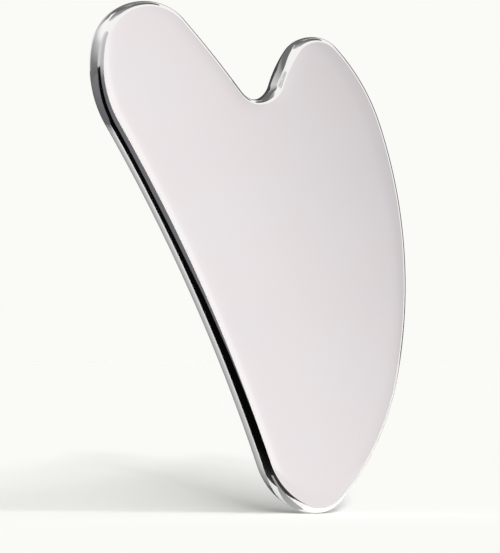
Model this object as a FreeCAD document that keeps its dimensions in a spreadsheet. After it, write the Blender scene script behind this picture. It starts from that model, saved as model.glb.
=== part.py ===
import FreeCAD, Part
import math
import os

import Sketcher

# Gua sha scraper: one flat, heart-like plate of polished stainless steel, held in the hand.
# A tall lobe and a smaller one, called the ear, stand either side of a rounded notch. A long
# hollow edge runs down the lobe's side and a long bulging edge down the ear's side, and they
# meet in a rounded tip.
#
# Frame: X across the plate towards the ear, Y through its thickness with the front face
# towards -Y, Z from the tip to the top of the lobe. The origin is the bottom centre of the
# plate's box, level with the lowest point of the tip.

NODE = "scraper_plate"

# Driving dimensions in millimetres. Each _x is measured from the plate's hollow side and each
# _z from the bottom of its tip.
SIZES = {
    "plate_height": 85.0,
    "plate_width": 55.0,
    "plate_thickness": 6.5,
    # The tall lobe's round top, and the fuller curve below it that touches the hollow side.
    "lobe_radius": 8.7,
    "lobe_x": 8.9,
    "flank_radius": 19.0,
    # The long hollow edge, and the heel and tip that it runs into.
    "hollow_radius": 305.0,
    "heel_radius": 12.5,
    "heel_x": 41.5,
    "tip_radius": 5.8,
    "tip_x": 39.0,
    # The bulging edge: from the tip, past its widest point, to the shoulder below the ear.
    "tip_side_radius": 43.0,
    "belly_radius": 81.0,
    "belly_z": 38.0,
    "shoulder_radius": 34.0,
    # The ear and the notch, with the flanks that link them to each other and to the lobe.
    "ear_radius": 5.0,
    "ear_x": 38.7,
    "ear_z": 79.4,
    "ear_flank_radius": 21.0,
    "notch_radius": 3.5,
    "notch_x": 28.35,
    "notch_z": 68.9,
    "lobe_flank_radius": 200.0,
    # The rim: a barrelled side wall, blended into both faces.
    "crown_radius": 11.0,
    "blend_radius": 0.6,
    "cutter_margin": 1.0,
}

BULGE = 1
HOLLOW = -1
START, END, CENTRE = 1, 2, 3
SKETCH_NORMAL = FreeCAD.Vector(0, 0, 1)


class OutlineArc:
    """One arc of the outline, in the XZ plane's own x and y."""

    def __init__(self, name, centre, radius, turn=BULGE):
        self.name = name
        self.centre = centre
        self.radius = radius
        self.turn = turn

    def reach(self, radius, turn=BULGE):
        """Distance from this arc's centre to that of another arc tangent to it."""
        if turn == self.turn:
            return abs(radius - self.radius)
        return radius + self.radius

    def joint(self, following):
        """The point where this arc runs smoothly into the following one."""
        towards = (following.centre - self.centre).normalize()
        if following.turn == self.turn and following.radius > self.radius:
            towards = -towards
        return self.centre + towards * self.radius

    def angle(self, point):
        spoke = point - self.centre
        return math.atan2(spoke.y, spoke.x)

    def curve(self, entry, leave):
        """The arc between two of its points, in the anticlockwise sense that a sketch uses."""
        first, last = (entry, leave) if self.turn == BULGE else (leave, entry)
        circle = Part.Circle(self.centre, SKETCH_NORMAL, self.radius)
        return Part.ArcOfCircle(circle, self.angle(first), self.angle(last))

    @property
    def entry_end(self):
        return START if self.turn == BULGE else END

    @property
    def leave_end(self):
        return END if self.turn == BULGE else START


def linking_arc(name, before, after, radius, turn, side):
    """The arc of a given radius that is tangent to two others.

    side is +1 where its centre lies left of the line from before to after, -1 where right.
    """
    from_before = before.reach(radius, turn)
    from_after = after.reach(radius, turn)
    span = after.centre - before.centre
    along = (from_before**2 - from_after**2 + span.Length**2) / (2 * span.Length)
    across = math.sqrt(from_before**2 - along**2)
    span.normalize()
    left = FreeCAD.Vector(-span.y, span.x, 0)
    return OutlineArc(name, before.centre + span * along + left * side * across, radius, turn)


def outline_arcs(size):
    """The outline's arcs, anticlockwise round the plate from the top of the lobe."""

    def placed(name, x, z, radius, turn=BULGE):
        return OutlineArc(name, FreeCAD.Vector(x - size["plate_width"] / 2, z, 0), radius, turn)

    def linked(name, before, after, side, turn=BULGE):
        return linking_arc(name, before, after, size[name + "_radius"], turn, side)

    lobe_radius = size["lobe_radius"]
    lobe_z = size["plate_height"] - lobe_radius
    lobe_left = placed("lobe_left", size["lobe_x"], lobe_z, lobe_radius)
    lobe_right = placed("lobe_right", size["lobe_x"], lobe_z, lobe_radius)

    flank_radius = size["flank_radius"]
    flank_drop = math.sqrt((flank_radius - lobe_radius) ** 2 - (flank_radius - size["lobe_x"]) ** 2)
    flank = placed("flank", flank_radius, lobe_z - flank_drop, flank_radius)

    tip = placed("tip", size["tip_x"], size["tip_radius"], size["tip_radius"])
    heel_radius = size["heel_radius"]
    heel_rise = math.sqrt((heel_radius - size["tip_radius"]) ** 2 - (size["heel_x"] - size["tip_x"]) ** 2)
    heel = placed("heel", size["heel_x"], size["tip_radius"] + heel_rise, heel_radius)

    belly_radius = size["belly_radius"]
    belly = placed("belly", size["plate_width"] - belly_radius, size["belly_z"], belly_radius)
    ear = placed("ear", size["ear_x"], size["ear_z"] - size["ear_radius"], size["ear_radius"])
    notch_radius = size["notch_radius"]
    notch = placed("notch", size["notch_x"], size["notch_z"] + notch_radius, notch_radius, HOLLOW)

    return [
        lobe_left,
        flank,
        linked("hollow", flank, heel, -1, HOLLOW),
        heel,
        tip,
        linked("tip_side", tip, belly, -1),
        belly,
        linked("shoulder", belly, ear, -1),
        ear,
        linked("ear_flank", ear, notch, 1),
        notch,
        linked("lobe_flank", notch, lobe_left, 1),
        lobe_right,
    ]


def make_sizes(doc):
    """The sheet of driving dimensions: a name and a number in each row, the number aliased."""
    sheet = doc.addObject("Spreadsheet::Sheet", "sizes")
    for row, (alias, value) in enumerate(SIZES.items(), start=1):
        sheet.set(f"A{row}", alias.replace("_", " "))
        sheet.set(f"B{row}", str(value))
        sheet.setAlias(f"B{row}", alias)
    doc.recompute()
    return sheet


def origin_plane(body, role):
    for feature in body.Origin.OriginFeatures:
        if feature.Role == role:
            return feature
    raise LookupError(role)


def new_sketch(body, name, role):
    sketch = body.newObject("Sketcher::SketchObject", name)
    sketch.AttachmentSupport = [(origin_plane(body, role), "")]
    sketch.MapMode = "FlatFace"
    return sketch


def add_size(sketch, name, expression, kind, *where):
    """A dimension that follows an expression of the sheet's sizes."""
    value = 1.0
    if kind == "Radius":
        value = sketch.Geometry[where[0]].Radius
    index = sketch.addConstraint(Sketcher.Constraint(kind, *where, value))
    sketch.renameConstraint(index, name)
    sketch.setExpression(f"Constraints.{name}", expression)


def place_point(sketch, name, geometry, point, x=None, y=None):
    """Coordinates of one sketch point, counted from the sketch's origin."""
    origin = (-1, 1)
    position = sketch.getPoint(geometry, point)
    for axis, expression, value in (("X", x, position.x), ("Y", y, position.y)):
        if expression is None:
            continue
        rule = Sketcher.Constraint("Distance" + axis, *origin, geometry, point, value)
        index = sketch.addConstraint(rule)
        sketch.renameConstraint(index, name + axis)
        sketch.setExpression(f"Constraints.{name}{axis}", expression)


def draw_outline(body, size):
    """The plate's outline: a closed chain of tangent arcs, fully constrained."""
    sketch = new_sketch(body, "outline", "XZ_Plane")
    arcs = outline_arcs(size)
    number = {arc.name: index for index, arc in enumerate(arcs)}
    joints = [arc.joint(following) for arc, following in zip(arcs[1:-1], arcs[2:])]
    lobe_top = arcs[0].centre + FreeCAD.Vector(0, arcs[0].radius, 0)
    entries = [lobe_top, arcs[0].joint(arcs[1])] + joints
    for arc, entry, leave in zip(arcs, entries, entries[1:] + [lobe_top]):
        sketch.addGeometry(arc.curve(entry, leave), False)

    for index, arc in enumerate(arcs):
        following = (index + 1) % len(arcs)
        ends = (index, arc.leave_end, following, arcs[following].entry_end)
        sketch.addConstraint(Sketcher.Constraint("Tangent", *ends))
    top, other = number["lobe_left"], number["lobe_right"]
    sketch.addConstraint(Sketcher.Constraint("Equal", top, other))
    sketch.addConstraint(Sketcher.Constraint("Vertical", top, CENTRE, top, START))

    add_size(sketch, "lobe_radius", "sizes.lobe_radius", "Radius", top)
    for arc in arcs[1:-1]:
        add_size(sketch, arc.name + "_radius", f"sizes.{arc.name}_radius", "Radius", number[arc.name])

    half = "sizes.plate_width / 2"
    centres = {
        "lobe_left": (f"sizes.lobe_x - {half}", "sizes.plate_height - sizes.lobe_radius"),
        "flank": (f"sizes.flank_radius - {half}", None),
        "heel": (f"sizes.heel_x - {half}", None),
        "tip": (f"sizes.tip_x - {half}", "sizes.tip_radius"),
        "belly": (f"{half} - sizes.belly_radius", "sizes.belly_z"),
        "ear": (f"sizes.ear_x - {half}", "sizes.ear_z - sizes.ear_radius"),
        "notch": (f"sizes.notch_x - {half}", "sizes.notch_z + sizes.notch_radius"),
    }
    for name, (x, y) in centres.items():
        place_point(sketch, name + "_centre", number[name], CENTRE, x, y)
    return sketch


def rim_section(size):
    """Where the rim's blends sit: the depth of their centres in from the outline."""
    crown, blend = size["crown_radius"], size["blend_radius"]
    half_wall = size["plate_thickness"] / 2 - blend
    return crown - math.sqrt((crown - blend) ** 2 - half_wall**2)


def draw_rim_cutter(body, size):
    """The space outside the rim's section, drawn where the outline passes the lobe's top."""
    sketch = new_sketch(body, "rim_cutter", "YZ_Plane")
    sketch.setExpression("AttachmentOffset.Base.z", "sizes.lobe_x - sizes.plate_width / 2")

    half, top = size["plate_thickness"] / 2, size["plate_height"]
    crown, blend = size["crown_radius"], size["blend_radius"]
    level = top - rim_section(size)
    outer, over = half + size["cutter_margin"], top + size["cutter_margin"]
    lean = math.asin((half - blend) / (crown - blend))

    def line(*ends):
        first, last = (FreeCAD.Vector(*end, 0) for end in ends)
        return sketch.addGeometry(Part.LineSegment(first, last), False)

    def arc(x, y, radius, first, last):
        circle = Part.Circle(FreeCAD.Vector(x, y, 0), SKETCH_NORMAL, radius)
        return sketch.addGeometry(Part.ArcOfCircle(circle, first, last), False)

    upright = math.pi / 2
    front_blend = arc(blend - half, level, blend, upright + lean, math.pi)
    barrel = arc(0, top - crown, crown, upright - lean, upright + lean)
    back_blend = arc(half - blend, level, blend, 0, upright - lean)
    back_step = line((half, level), (outer, level))
    back_side = line((outer, level), (outer, over))
    roof = line((outer, over), (-outer, over))
    front_side = line((-outer, over), (-outer, level))
    front_step = line((-outer, level), (-half, level))

    def rule(*terms):
        sketch.addConstraint(Sketcher.Constraint(*terms))

    rule("Tangent", barrel, END, front_blend, START)
    rule("Tangent", back_blend, END, barrel, START)
    lines = [back_step, back_side, roof, front_side, front_step]
    for line_before, line_after in zip(lines, lines[1:]):
        rule("Coincident", line_before, END, line_after, START)
    rule("Coincident", front_step, END, front_blend, END)
    rule("Coincident", back_blend, START, back_step, START)
    for level_line in (back_step, roof, front_step):
        rule("Horizontal", level_line)
    for upright_line in (back_side, front_side):
        rule("Vertical", upright_line)
    rule("Horizontal", front_blend, CENTRE, front_blend, END)
    rule("Horizontal", back_blend, CENTRE, back_blend, START)
    rule("Equal", front_blend, back_blend)

    add_size(sketch, "crown_radius", "sizes.crown_radius", "Radius", barrel)
    add_size(sketch, "blend_radius", "sizes.blend_radius", "Radius", front_blend)
    half_name = "sizes.plate_thickness / 2"
    place_point(sketch, "crown", barrel, CENTRE, "0 mm", "sizes.plate_height - sizes.crown_radius")
    place_point(sketch, "front", front_blend, END, f"-{half_name}")
    place_point(sketch, "back", back_blend, START, half_name)
    place_point(sketch, "front_corner", roof, END, f"-{half_name} - sizes.cutter_margin")
    place_point(sketch, "back_corner", roof, START, f"{half_name} + sizes.cutter_margin",
                "sizes.plate_height + sizes.cutter_margin")
    return sketch


def make_plate(doc, size):
    """The plate: its outline padded both ways from the middle, then cut to the rim's section."""
    body = doc.addObject("PartDesign::Body", NODE)
    body.Label = NODE
    outline = draw_outline(body, size)

    blank = body.newObject("PartDesign::Pad", "blank")
    blank.Profile = outline
    blank.SideType = "Symmetric"
    blank.setExpression("Length", "sizes.plate_thickness")
    doc.recompute()

    rim = body.newObject("PartDesign::SubtractivePipe", "rim")
    rim.Profile = draw_rim_cutter(body, size)
    rim.Spine = (outline, [""])
    rim.Mode = "Frenet"
    body.Tip = rim
    doc.recompute()
    body.Placement = FreeCAD.Placement()
    return body


def check(doc, body):
    """Stop before anything is written if an object failed or the plate isn't one sound solid."""
    for item in doc.Objects:
        if "Invalid" in item.State or "Error" in item.State:
            raise RuntimeError(f"{item.Name} failed: {item.State}")
    for sketch in doc.findObjects("Sketcher::SketchObject"):
        if not sketch.FullyConstrained:
            raise RuntimeError(f"{sketch.Name} is not fully constrained")
    shape = body.Shape
    if shape.isNull() or not shape.isValid() or len(shape.Solids) != 1:
        raise RuntimeError("the plate is not one valid solid")


def main():
    doc = FreeCAD.newDocument("gua_sha_scraper")
    sheet = make_sizes(doc)
    size = {alias: float(sheet.get(alias)) for alias in SIZES}
    plate = make_plate(doc, size)
    check(doc, plate)

    blank = doc.getObject("blank").Shape.Volume
    box = plate.Shape.optimalBoundingBox(True, False)
    print(f"blank {blank:.1f} mm3, finished {plate.Shape.Volume:.1f} mm3")
    print(f"box {box.XLength:.3f} x {box.YLength:.3f} x {box.ZLength:.3f} mm, base at {box.ZMin:.3f}")

    os.makedirs("parts", exist_ok=True)
    plate.Shape.exportStep(f"parts/{NODE}.step")


main()
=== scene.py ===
import math

import bpy
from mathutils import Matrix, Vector


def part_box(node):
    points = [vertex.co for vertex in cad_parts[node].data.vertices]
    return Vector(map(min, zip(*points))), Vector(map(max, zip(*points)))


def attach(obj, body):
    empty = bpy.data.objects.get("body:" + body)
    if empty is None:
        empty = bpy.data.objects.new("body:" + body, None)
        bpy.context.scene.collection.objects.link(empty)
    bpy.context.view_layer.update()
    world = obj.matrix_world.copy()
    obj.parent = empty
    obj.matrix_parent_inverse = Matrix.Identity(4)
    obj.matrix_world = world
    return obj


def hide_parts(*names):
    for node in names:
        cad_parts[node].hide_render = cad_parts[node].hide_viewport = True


# The looks of a gua sha plate: one slab of mirror-polished steel, standing on its tip in a
# white studio. Units are metres. X runs across the plate, Y through it with the front face
# towards -Y, and Z up from the tip.

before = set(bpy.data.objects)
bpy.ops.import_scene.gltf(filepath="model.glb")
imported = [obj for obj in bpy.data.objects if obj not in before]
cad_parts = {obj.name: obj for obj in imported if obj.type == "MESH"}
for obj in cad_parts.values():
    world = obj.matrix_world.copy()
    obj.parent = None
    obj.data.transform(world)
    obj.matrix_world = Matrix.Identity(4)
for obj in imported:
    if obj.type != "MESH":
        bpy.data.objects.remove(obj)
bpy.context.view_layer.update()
NODE = "scraper_plate"
LOW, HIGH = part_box(NODE)

# ---------------------------------------------------------------------------------------
# The outline: the CAD model's chain of tangent arcs. Each _x is measured from the plate's
# hollow side and each _z from the bottom of its tip.

WIDTH = HIGH.x - LOW.x
HEIGHT = HIGH.z - LOW.z
THICKNESS = HIGH.y - LOW.y

RADIUS = {
    "lobe": 0.0087,
    "flank": 0.019,
    "hollow": 0.305,
    "heel": 0.0125,
    "tip": 0.0058,
    "tip_side": 0.043,
    "belly": 0.081,
    "shoulder": 0.034,
    "ear": 0.005,
    "ear_flank": 0.021,
    "notch": 0.0035,
    "lobe_flank": 0.200,
}
LOBE_X = 0.0089
HEEL_X = 0.0415
TIP_X = 0.039
BELLY_Z = 0.038
EAR_X = 0.0387
EAR_Z = 0.0794
NOTCH_X = 0.02835
NOTCH_Z = 0.0689

BULGE = 1
HOLLOW = -1


class OutlineArc:
    """One arc of the outline, in x and z."""

    def __init__(self, name, centre, turn=BULGE):
        self.centre = centre
        self.radius = RADIUS[name]
        self.turn = turn

    def reach(self, radius, turn):
        """Distance from this arc's centre to that of another arc tangent to it."""
        return abs(radius - self.radius) if turn == self.turn else radius + self.radius

    def joint(self, following):
        """The point where this arc runs smoothly into the following one."""
        towards = (following.centre - self.centre).normalized()
        if following.turn == self.turn and following.radius > self.radius:
            towards = -towards
        return self.centre + towards * self.radius

    def samples(self, entry, leave, spacing, widest_turn):
        """Points and outward normals from entry up to, but not with, leave."""
        first, last = entry - self.centre, leave - self.centre
        start = math.atan2(first.y, first.x)
        sweep = (math.atan2(last.y, last.x) - start) * self.turn % math.tau
        steps = math.ceil(max(sweep * self.radius / spacing, sweep / widest_turn))
        for step in range(steps):
            angle = start + self.turn * sweep * step / steps
            spoke = Vector((math.cos(angle), math.sin(angle)))
            yield self.centre + spoke * self.radius, spoke * self.turn


def linking_arc(name, before, after, side, turn=BULGE):
    """The arc tangent to two others: side is +1 where its centre lies left of their line."""
    from_before = before.reach(RADIUS[name], turn)
    from_after = after.reach(RADIUS[name], turn)
    span = after.centre - before.centre
    along = (from_before**2 - from_after**2 + span.length_squared) / (2 * span.length)
    across = math.sqrt(from_before**2 - along**2)
    ahead = span.normalized()
    left = Vector((-ahead.y, ahead.x))
    return OutlineArc(name, before.centre + ahead * along + left * side * across, turn)


def outline_arcs():
    """The outline's arcs, anticlockwise as seen from the front, starting with the lobe."""

    def placed(name, x, z, turn=BULGE):
        return OutlineArc(name, Vector((LOW.x + x, LOW.z + z)), turn)

    lobe_z = HEIGHT - RADIUS["lobe"]
    flank_reach = RADIUS["flank"] - RADIUS["lobe"]
    flank_drop = math.sqrt(flank_reach**2 - (RADIUS["flank"] - LOBE_X) ** 2)
    heel_reach = RADIUS["heel"] - RADIUS["tip"]
    heel_rise = math.sqrt(heel_reach**2 - (HEEL_X - TIP_X) ** 2)

    lobe = placed("lobe", LOBE_X, lobe_z)
    flank = placed("flank", RADIUS["flank"], lobe_z - flank_drop)
    heel = placed("heel", HEEL_X, RADIUS["tip"] + heel_rise)
    tip = placed("tip", TIP_X, RADIUS["tip"])
    belly = placed("belly", WIDTH - RADIUS["belly"], BELLY_Z)
    ear = placed("ear", EAR_X, EAR_Z - RADIUS["ear"])
    notch = placed("notch", NOTCH_X, NOTCH_Z + RADIUS["notch"], HOLLOW)
    return [
        lobe,
        flank,
        linking_arc("hollow", flank, heel, -1, HOLLOW),
        heel,
        tip,
        linking_arc("tip_side", tip, belly, -1),
        belly,
        linking_arc("shoulder", belly, ear, -1),
        ear,
        linking_arc("ear_flank", ear, notch, 1),
        notch,
        linking_arc("lobe_flank", notch, lobe, 1),
    ]


def outline_samples(spacing=0.0004, widest_turn=math.radians(1.5)):
    """Points and outward normals all the way round."""
    arcs = outline_arcs()
    following = arcs[1:] + arcs[:1]
    joints = [arc.joint(after) for arc, after in zip(arcs, following)]
    samples = []
    for arc, entry, leave in zip(arcs, joints[-1:] + joints[:-1], joints):
        samples.extend(arc.samples(entry, leave, spacing, widest_turn))
    return samples


# ---------------------------------------------------------------------------------------
# The rim's section, from the front face round to the back. Each point is its inset from the
# outline, its y, and the tilt of its normal: 0 straight outwards, +90 degrees at the front.

CROWN_RADIUS = 0.0115
SHOULDER_RADIUS = 0.0016
SHOULDER_TILT = math.radians(48)
EDGE_RADIUS = 0.0004
# Buffing wears a flat face down very slightly towards its rim.
ROLL_TILT = math.radians(2.4)
ROLL_WIDTH = 0.0028
ROLL_POWER = 2


def rim_half_section():
    """The front half of the section: from the flat face, over the rim, to the mid-plane."""
    roll_drop = math.tan(ROLL_TILT) * ROLL_WIDTH / (ROLL_POWER + 1)
    edge_tilt = math.pi / 2 - ROLL_TILT

    def rise(radius, low, high):
        return radius * (math.sin(high) - math.sin(low))

    def inset(radius, low, high):
        return radius * (math.cos(low) - math.cos(high))

    # The crown's half-angle makes the three radii add up to half the thickness.
    half = THICKNESS / 2 - roll_drop
    fixed = rise(EDGE_RADIUS, SHOULDER_TILT, edge_tilt) + SHOULDER_RADIUS * math.sin(SHOULDER_TILT)
    crown_tilt = math.asin((half - fixed) / (CROWN_RADIUS - SHOULDER_RADIUS))

    points = []
    stages = (
        (CROWN_RADIUS, 0.0, crown_tilt, 14),
        (SHOULDER_RADIUS, crown_tilt, SHOULDER_TILT, 10),
        (EDGE_RADIUS, SHOULDER_TILT, edge_tilt, 8),
    )
    depth, height = 0.0, 0.0
    for radius, low, high, steps in stages:
        for step in range(steps):
            tilt = low + (high - low) * step / steps
            points.append((depth + inset(radius, low, tilt), height + rise(radius, low, tilt), tilt))
        depth += inset(radius, low, high)
        height += rise(radius, low, high)
    roll_steps = 12
    for step in range(roll_steps + 1):
        left = 1 - step / roll_steps
        tilt = math.pi / 2 - math.atan(math.tan(ROLL_TILT) * left**ROLL_POWER)
        y = THICKNESS / 2 - roll_drop * left ** (ROLL_POWER + 1)
        points.append((depth + ROLL_WIDTH * (1 - left), y, tilt))
    return points


def plate_mesh():
    """The plate, as rings of vertices round the rim and one flat polygon on each face."""
    front = [(inset, -y, tilt) for inset, y, tilt in reversed(rim_half_section())]
    back = [(inset, y, -tilt) for inset, y, tilt in rim_half_section()[1:]]
    section = front + back
    outline = outline_samples()
    middle = (LOW.y + HIGH.y) / 2

    vertices, normals, rim_share = [], [], []
    for inset, y, tilt in section:
        for point, outwards in outline:
            place = point - outwards * inset
            across = outwards * math.cos(tilt)
            vertices.append((place.x, middle + y, place.y))
            normals.append((across.x, -math.sin(tilt), across.y))
            rim_share.append(math.cos(tilt) ** 0.5)

    count = len(outline)
    last = (len(section) - 1) * count
    faces = []
    for ring in range(len(section) - 1):
        for step in range(count):
            here, beside = ring * count + step, ring * count + (step + 1) % count
            faces.append((here, here + count, beside + count, beside))
    faces.append(tuple(range(count)))
    faces.append(tuple(last + step for step in reversed(range(count))))

    mesh = bpy.data.meshes.new("polished_plate")
    mesh.from_pydata(vertices, [], faces)
    mesh.attributes.new("rim", "FLOAT", "POINT").data.foreach_set("value", rim_share)
    mesh.polygons.foreach_set("use_smooth", [True] * len(faces))
    mesh.normals_split_custom_set_from_vertices(normals)
    mesh.validate()
    mesh.update()
    return mesh


# ---------------------------------------------------------------------------------------
# Materials

PAPER_WHITE = 0.85
# The paper's brightness in full light, the tent's colour, and its share of light on the paper.
PAPER_GLOW = 0.958
TENT_COLOUR = (0.957, 0.955, 0.924)
TENT_SHARE = 0.22


class Nodes:
    """Short calls for building a material's or a world's node tree."""

    def __init__(self, owner):
        owner.use_nodes = True
        self.tree = owner.node_tree
        self.tree.nodes.clear()

    def add(self, kind, settings=None, **inputs):
        node = self.tree.nodes.new(kind)
        for name, value in (settings or {}).items():
            setattr(node, name, value)
        for name, value in inputs.items():
            self.feed(node.inputs[name.replace("_", " ")], value)
        return node

    def feed(self, socket, value):
        if isinstance(value, bpy.types.NodeSocket):
            self.tree.links.new(value, socket)
        else:
            socket.default_value = value

    def ramp(self, factor, *stops):
        node = self.add("ShaderNodeValToRGB")
        self.feed(node.inputs["Fac"], factor)
        stops_in = node.color_ramp.elements
        while len(stops_in) < len(stops):
            stops_in.new(0.5)
        for element, (position, colour) in zip(stops_in, stops):
            element.position = position
            element.color = (*colour, 1) if isinstance(colour, tuple) else (colour,) * 3 + (1,)
        return node.outputs["Color"]

    def finish(self, shader, output="ShaderNodeOutputMaterial"):
        node = self.add(output)
        self.tree.links.new(shader, node.inputs["Surface"])


def polished_steel():
    """Mirror-polished steel: faint tints, hairline scratches, a slight haze and soft waviness."""
    material = bpy.data.materials.new("polished_steel")
    nodes = Nodes(material)
    place = nodes.add("ShaderNodeTexCoord").outputs["Object"]

    clouds = nodes.add("ShaderNodeTexNoise", Vector=place, Scale=45.0, Detail=2.0)
    tint = nodes.ramp(
        clouds.outputs["Fac"],
        (0.30, (0.925, 0.915, 0.925)),
        (0.50, (0.945, 0.925, 0.930)),
        (0.70, (0.920, 0.930, 0.940)),
    )

    # Buffing lines run along the plate, so the noise is squeezed across and stretched along.
    squeezed = nodes.add("ShaderNodeMapping", Vector=place, Scale=(2600.0, 2600.0, 60.0),
                         Rotation=(0.0, math.radians(-24), 0.0))
    hairlines = nodes.add("ShaderNodeTexNoise", Vector=squeezed.outputs["Vector"], Scale=1.0,
                          Detail=3.0)
    haze = nodes.add("ShaderNodeTexNoise", Vector=place, Scale=140.0, Detail=4.0)
    wear = nodes.add("ShaderNodeAttribute", {"attribute_name": "rim"}).outputs["Fac"]
    haze_share = nodes.add("ShaderNodeMapRange", Value=haze.outputs["Fac"],
                           From_Min=0.35, From_Max=0.75, To_Min=0.0, To_Max=0.030)
    line_share = nodes.add("ShaderNodeMapRange", Value=hairlines.outputs["Fac"],
                           From_Min=0.45, From_Max=0.80, To_Min=0.0, To_Max=0.035)
    base = nodes.add("ShaderNodeMapRange", Value=wear, To_Min=0.028, To_Max=0.050)
    hazed = nodes.add("ShaderNodeMath", {"operation": "ADD"})
    nodes.feed(hazed.inputs[0], haze_share.outputs["Result"])
    nodes.feed(hazed.inputs[1], line_share.outputs["Result"])
    rough = nodes.add("ShaderNodeMath", {"operation": "ADD"})
    nodes.feed(rough.inputs[0], hazed.outputs["Value"])
    nodes.feed(rough.inputs[1], base.outputs["Result"])

    waves = nodes.add("ShaderNodeTexNoise", Vector=place, Scale=70.0, Detail=1.0)
    wavy = nodes.add("ShaderNodeBump", Height=waves.outputs["Fac"], Strength=0.35,
                     Distance=0.00006)
    scratched = nodes.add("ShaderNodeBump", Height=hairlines.outputs["Fac"], Strength=0.07,
                          Distance=0.000004, Normal=wavy.outputs["Normal"])

    steel = nodes.add("ShaderNodeBsdfPrincipled", Base_Color=tint, Metallic=1.0,
                      Roughness=rough.outputs["Value"], Normal=scratched.outputs["Normal"])
    nodes.finish(steel.outputs["BSDF"])
    return material


def studio_floor():
    """Matt white paper."""
    material = bpy.data.materials.new("studio_paper")
    nodes = Nodes(material)
    warm = PAPER_WHITE * 0.969
    paper = nodes.add("ShaderNodeBsdfPrincipled", Base_Color=(PAPER_WHITE, PAPER_WHITE, warm, 1.0),
                      Roughness=0.95)
    paper.inputs["Specular IOR Level"].default_value = 0.0
    nodes.finish(paper.outputs["BSDF"])
    return material


# Tints of the studio cards, and the axes along which their light changes.
NEUTRAL = (1.0, 1.0, 1.0)
COOL = (0.98, 0.98, 1.07)
BLUSH = (1.02, 0.975, 0.985)
WARM = (1.05, 0.97, 0.98)
SIDEWAYS = (1.0, 0.0, 0.0)
UPWARDS = (0.0, 0.0, 1.0)
AROUND = "around"
# What the radial gradient reads straight along +Y.
AHEAD = 0.75


def tinted(level, tint):
    """A card's colour: its brightness with a slight tint."""
    return tuple(level * channel for channel in tint)


def shine(nodes, colour):
    """Ends a material's nodes with light of its own."""
    emission = nodes.add("ShaderNodeEmission", Color=colour, Strength=1.0)
    nodes.finish(emission.outputs["Emission"])


def flat_glow(name, level, tint=NEUTRAL):
    """A card's own even light."""
    material = bpy.data.materials.new(name)
    shine(Nodes(material), (*tinted(level, tint), 1.0))
    return material


def glow(name, measure, stops, tint=NEUTRAL):
    """A card's own light, from stops of (place along the measure, brightness).

    The measure is an axis, with places in metres, or AROUND, with degrees to the left of +Y.
    """
    material = bpy.data.materials.new(name)
    nodes = Nodes(material)
    place = nodes.add("ShaderNodeTexCoord").outputs["Object"]
    first, last = stops[0][0], stops[-1][0]
    low, high = first, last
    if measure == AROUND:
        radial = nodes.add("ShaderNodeTexGradient", {"gradient_type": "RADIAL"}, Vector=place)
        value = radial.outputs["Fac"]
        low, high = AHEAD + first / 360, AHEAD + last / 360
    else:
        along = nodes.add("ShaderNodeVectorMath", {"operation": "DOT_PRODUCT"}, Vector=place)
        along.inputs[1].default_value = measure
        value = along.outputs["Value"]
    share = nodes.add("ShaderNodeMapRange", Value=value, From_Min=low, From_Max=high)
    spread = [((at - first) / (last - first), tinted(level, tint)) for at, level in stops]
    shine(nodes, nodes.ramp(share.outputs["Result"], *spread))
    return material


# ---------------------------------------------------------------------------------------
# The studio


def add_floor():
    """A square of white paper, wide enough to reach the horizon."""
    mesh = bpy.data.meshes.new("studio_floor")
    reach = 60.0
    corners = [(-reach, -reach, 0), (reach, -reach, 0), (reach, reach, 0), (-reach, reach, 0)]
    mesh.from_pydata(corners, [], [(0, 1, 2, 3)])
    mesh.materials.append(studio_floor())
    floor = bpy.data.objects.new("studio_floor", mesh)
    bpy.context.scene.collection.objects.link(floor)


def add_card(name, corners, material):
    """A studio card that only reflections see, so it lights nothing and casts no shadow."""
    mesh = bpy.data.meshes.new(name)
    mesh.from_pydata(corners, [], [tuple(range(len(corners)))])
    mesh.materials.append(material)
    card = bpy.data.objects.new(name, mesh)
    bpy.context.scene.collection.objects.link(card)
    card.visible_camera = False
    card.visible_diffuse = False
    card.visible_shadow = False
    card.visible_transmission = False
    card.visible_volume_scatter = False


def standing_card(name, left, right, bottom, top, material):
    """An upright card between two floor points."""
    corners = [(*left, bottom), (*right, bottom), (*right, top), (*left, top)]
    add_card(name, corners, material)


def add_table_card(name, points, material, lift=0.0004):
    """A card lying on the paper, given by its corners."""
    add_card(name, [(x, y, lift) for x, y in points], material)


# The edges that neighbouring cards share, as (x, y) points on the table.
CLOTH_NEAR = [(0.013, -0.008), (0.004, -0.002), (-0.002, 0.013), (-0.010, 0.024), (-0.076, 0.153)]
CLOTH_FAR = [(-0.097, 0.146), (-0.247, 0.315), (-0.690, 0.850)]
CLOTH_LEFT = [(-0.690, 0.250), (-0.265, 0.085), (-0.112, 0.054), (-0.078, 0.067)]
CLOTH_FRONT = [(-0.063, 0.005), (-0.046, -0.012), (-0.022, -0.019), (-0.004, -0.016),
               (0.011, -0.012)]
BOARD_FRONT = [(-0.035, -0.026), (-0.063, -0.044), (-0.105, -0.072), (-0.690, -0.340)]
SWEEP_EDGE = [(-0.076, 0.153), (-0.043, 0.277), (0.025, 0.500), (0.320, 1.500)]
SCREEN_FOOT = [(0.050, 0.60), (0.50, 0.55), (0.75, 0.25)]
WALL_LEFT, WALL_RIGHT = (-1.40, 1.50), (0.12, 1.50)
BOARD_HEIGHT = 0.55
SCREEN_HEIGHT = 0.45


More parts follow.
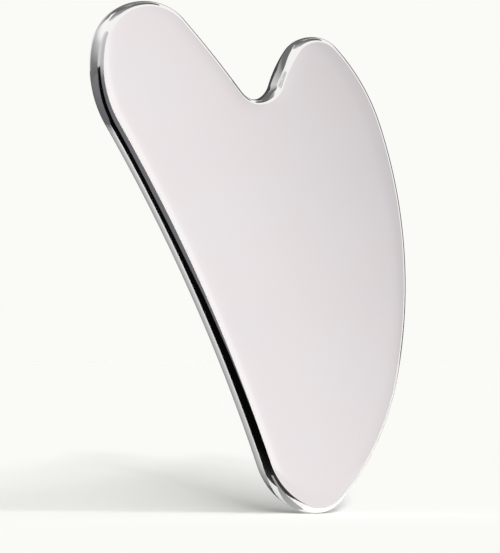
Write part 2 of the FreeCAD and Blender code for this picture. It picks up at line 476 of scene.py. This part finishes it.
def add_table_cards():
    """A black cloth running off to the left from beside the tip, between a board and grey paper."""
    cloth = glow("cloth_glow", SIDEWAYS, (
        (-0.017, 0.002), (-0.008, 0.010), (-0.002, 0.035), (0.013, 0.070)))
    add_table_card("cloth", CLOTH_NEAR + CLOTH_FAR + CLOTH_LEFT + CLOTH_FRONT, cloth, 0.0005)

    board = glow("board_glow", SIDEWAYS, ((-0.690, 0.22), (-0.200, 0.15), (-0.050, 0.165)), COOL)
    add_table_card("board", CLOTH_LEFT + CLOTH_FRONT[:3] + BOARD_FRONT, board)

    sweep = glow("sweep_glow", SIDEWAYS, (
        (-0.70, 0.20), (-0.20, 0.18), (-0.09, 0.145), (0.0, 0.115)), COOL)
    sweep_outline = SWEEP_EDGE + [WALL_LEFT, CLOTH_FAR[2], CLOTH_FAR[1], CLOTH_FAR[0]]
    add_table_card("grey_sweep", sweep_outline, sweep)


def add_standing_boards():
    """A wall behind that brightens upwards, and two boards on end at the left."""
    wall = glow("wall_glow", UPWARDS, (
        (0.0, 0.15), (0.072, 0.165), (0.156, 0.22), (0.21, 0.30), (0.295, 0.40), (0.36, 0.48),
        (0.44, 0.58), (0.53, 0.77), (0.65, 0.93), (0.80, 0.98)))
    standing_card("back_wall", WALL_LEFT, WALL_RIGHT, 0.0, 1.2, wall)

    # The cloth runs up the foot of the board at the back left.
    back_left = glow("back_left_glow", UPWARDS, (
        (0.0, 0.004), (0.082, 0.004), (0.094, 0.60), (0.55, 0.80)))
    standing_card("back_left_board", CLOTH_LEFT[0], CLOTH_FAR[-1], 0.0, BOARD_HEIGHT, back_left)
    left = glow("left_glow", UPWARDS, ((0.0, 0.22), (0.055, 0.40), (0.11, 0.50), (0.55, 0.62)))
    standing_card("left_board", BOARD_FRONT[-1], CLOTH_LEFT[0], 0.0, BOARD_HEIGHT, left)


def add_pale_paper():
    """The pale paper behind, whose tone changes round the plate."""
    fan = glow("fan_glow", AROUND, (
        (-60, 0.84), (-42, 0.62), (-30, 0.12), (-17, 0.10), (-12, 0.22), (2, 0.36), (8.5, 0.47),
        (16.5, 0.55), (21, 0.70), (25, 0.93)))
    fan_outline = [(0.004, 0.010), CLOTH_NEAR[2], *SWEEP_EDGE, (1.2, 1.5), (0.5, 0.10)]
    add_table_card("pale_fan", fan_outline, fan, 0.0003)


def add_outline_screens():
    """Dark screens and a mat behind to the right, which draw the plate's outline."""
    edge = glow("edge_glow", UPWARDS, ((0.0, 0.09), (0.16, 0.14), (0.45, 0.26)), WARM)
    start, corner, end = SCREEN_FOOT
    standing_card("edge_screen", start, corner, 0.0, SCREEN_HEIGHT, edge)
    standing_card("edge_fin", (-0.040, 0.60), start, 0.20, 0.50, flat_glow("edge_fin_glow", 0.14))
    standing_card("edge_wing", corner, end, 0.0, SCREEN_HEIGHT, edge)
    mat_outline = [(0.085, 0.38), (0.10, 0.60), corner, end, (0.33, 0.10)]
    add_table_card("edge_mat", mat_outline, flat_glow("edge_mat_glow", 0.06), 0.0006)


def add_overhead_cards():
    """A grey ceiling that pales to the left, and two small flags behind the notch."""
    ceiling = glow("ceiling_glow", SIDEWAYS, (
        (-0.50, 0.60), (-0.36, 0.34), (-0.10, 0.22), (0.0, 0.16), (0.5, 0.13)))
    ceiling_outline = [(-0.60, 0.60), (-0.40, 0.08), (0.20, 0.02), (0.54, 0.06), (0.56, 0.45),
                       (0.50, 0.90), (0.10, 1.55), (-0.50, 1.50)]
    add_table_card("ceiling", ceiling_outline, ceiling, 0.98)

    flag = glow("flag_glow", (0.35, 0.0, 1.0), (
        (0.076, 0.70), (0.081, 0.58), (0.085, 0.47), (0.0885, 0.34), (0.0915, 0.16), (0.10, 0.15)))
    standing_card("notch_flag", (-0.030, 0.045), (0.025, 0.045), 0.074, 0.104, flag)
    standing_card("notch_foot", (-0.004, 0.0445), (0.025, 0.0445), 0.070, 0.0875,
                  flat_glow("notch_foot_glow", 0.06))


def add_front_cards():
    """The soft panel that the flat face reflects, its mat, and the grey card under the tip: painted
    shade, standing for the contact shadow in the steel's reflection.
    """
    front = glow("front_glow", (0.926, 0.0, 0.377), (
        (0.050, 1.00), (0.0585, 0.99), (0.0615, 0.905), (0.066, 0.875), (0.0795, 0.830),
        (0.0875, 0.785), (0.0957, 0.740), (0.102, 0.695), (0.108, 0.640), (0.125, 0.600)), BLUSH)
    # The panel's foot runs along a slanting line on the table.
    foot_y, foot_slope = -0.198, 0.385
    outline = [(0.050, 0.0), (0.024, 0.060), (0.025, 0.084), (0.032, 0.102), (0.046, 0.112),
               (0.150, 0.130), (0.150, 0.0)]
    add_card("front_panel", [(x, foot_y + foot_slope * x, z) for x, z in outline], front)

    # Painted shade: a grey card under the tip that only reflections see, standing in for the contact
    # shadow on the paper.
    painted_contact_shade = glow("painted_contact_shade_glow", SIDEWAYS, ((-0.004, 0.40), (0.002, 0.30), (0.012, 0.50)))
    left, right, near, far = -0.004, 0.012, -0.002, 0.003
    add_table_card("painted_contact_shade", [(left, near), (right, near), (right, far), (left, far)],
                   painted_contact_shade, 0.0007)

    mat_outline = [(-0.002, -0.017), (0.040, -0.183), (0.150, -0.140), (0.034, -0.006),
                   (0.013, -0.009)]
    add_table_card("front_mat", mat_outline, flat_glow("front_mat_glow", 0.84, BLUSH))


def add_cards():
    """Everything that the steel sees but the camera doesn't."""
    add_table_cards()
    add_standing_boards()
    add_pale_paper()
    add_outline_screens()
    add_overhead_cards()
    add_front_cards()


# The lens's direction from the plate, in degrees to the right of -Y.
LENS_AZIMUTH = -21.2
# A tall strip light just right of the lens, bending to the right as it rises, as a row of suns,
# and a weaker light from behind on the right. Each is its turn to the right of the lens, its
# height and its width, in degrees.
STRIP_FOOT = (1.4, 4.9, 0.9)
STRIP_HEAD = (50.0, 36.0, 24.0)
STRIP_SUNS = 9
REAR_SUN = (115.0, 30.0, 24.0)
REAR_SHARE = 0.07


def suns():
    """Every sun with its share of the light."""
    for step in range(STRIP_SUNS):
        up = step / (STRIP_SUNS - 1)
        sun = [foot * (head / foot) ** up for foot, head in zip(STRIP_FOOT, STRIP_HEAD)]
        yield (*sun, (1.0 - REAR_SHARE) / STRIP_SUNS)
    yield (*REAR_SUN, REAR_SHARE)


def add_lights():
    """An even white tent, and low soft suns to the right that share one fanned shadow."""
    world = bpy.data.worlds.new("studio_tent")
    nodes = Nodes(world)
    on_matt = nodes.add("ShaderNodeLightPath").outputs["Is Diffuse Ray"]
    level = nodes.add("ShaderNodeMapRange", Value=on_matt, To_Min=1.0, To_Max=TENT_SHARE)
    tent = nodes.add("ShaderNodeBackground", Color=(*TENT_COLOUR, 1.0),
                     Strength=level.outputs["Result"])
    nodes.finish(tent.outputs["Background"], "ShaderNodeOutputWorld")
    bpy.context.scene.world = world

    # Together the suns give the paper what the tent leaves out.
    wanted = PAPER_GLOW / PAPER_WHITE - TENT_COLOUR[0] * TENT_SHARE
    for turn, height, width, share in suns():
        sun = bpy.data.lights.new("low_sun", "SUN")
        sun.angle = math.radians(width)
        sun.energy = wanted * share * math.pi / math.sin(math.radians(height))
        lamp = bpy.data.objects.new("low_sun", sun)
        lamp.rotation_euler = (math.radians(90 - height), 0.0, math.radians(LENS_AZIMUTH + turn))
        lamp.visible_glossy = False
        bpy.context.scene.collection.objects.link(lamp)


def add_camera():
    """A long lens low over the table, to the hollow side of the face."""
    azimuth = math.radians(LENS_AZIMUTH)
    distance = 1.5
    eye_height = 0.026
    target = Vector((-0.00097, LOW.y, 0.03944))
    data = bpy.data.cameras.new("camera")
    data.lens = 589.0
    data.sensor_width = 36.0
    data.clip_start, data.clip_end = 0.01, 100.0
    camera = bpy.data.objects.new("camera", data)
    camera.location = (
        target.x + math.sin(azimuth) * distance,
        target.y - math.cos(azimuth) * distance,
        eye_height,
    )
    camera.rotation_euler = (target - camera.location).to_track_quat("-Z", "Y").to_euler()
    bpy.context.scene.collection.objects.link(camera)
    bpy.context.scene.camera = camera


def add_plate():
    """The visual plate, which takes the CAD plate's place."""
    plate = bpy.data.objects.new("polished_plate", plate_mesh())
    plate.data.materials.append(polished_steel())
    bpy.context.scene.collection.objects.link(plate)
    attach(plate, "root")
    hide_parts(NODE)


bpy.context.scene.view_settings.view_transform = "Standard"
add_plate()
add_floor()
add_cards()
add_lights()
add_camera()
